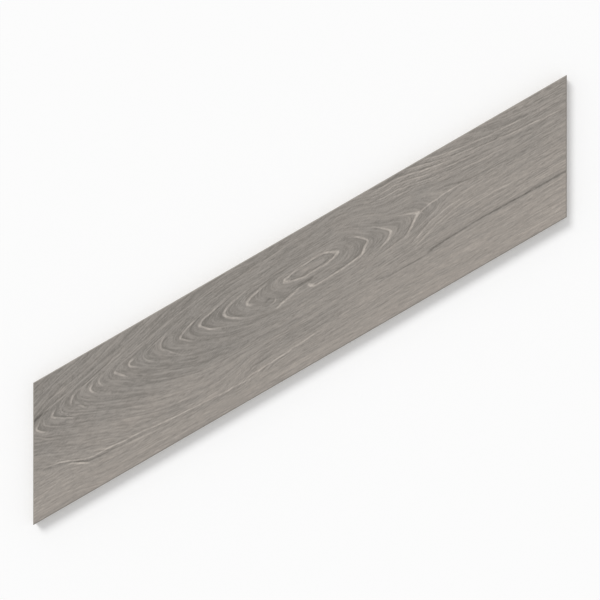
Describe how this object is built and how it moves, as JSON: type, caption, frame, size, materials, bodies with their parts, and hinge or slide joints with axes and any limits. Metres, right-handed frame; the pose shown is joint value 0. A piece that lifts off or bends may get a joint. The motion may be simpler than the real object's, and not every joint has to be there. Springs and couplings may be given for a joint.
{
  "type": "porcelain chevron tile",
  "caption": "Flat plank-shaped porcelain tile with mitred ends, a grey wood-grain face with bevelled arrises and a ribbed back, laid in adhesive as one hand of a chevron floor or wall.",
  "frame": {"origin": "middle of the plane of the ribs on the back, which lie in the adhesive", "axes": "+X along the long edges, +Y across the plank, +Z out of the face"},
  "size_m": [0.4462, 0.08, 0.009],
  "materials": {
    "wood_look_porcelain": "matte"
  },
  "bodies": {
    "root": {"chevron_tile": "wood_look_porcelain"}
  },
  "joints": []
}
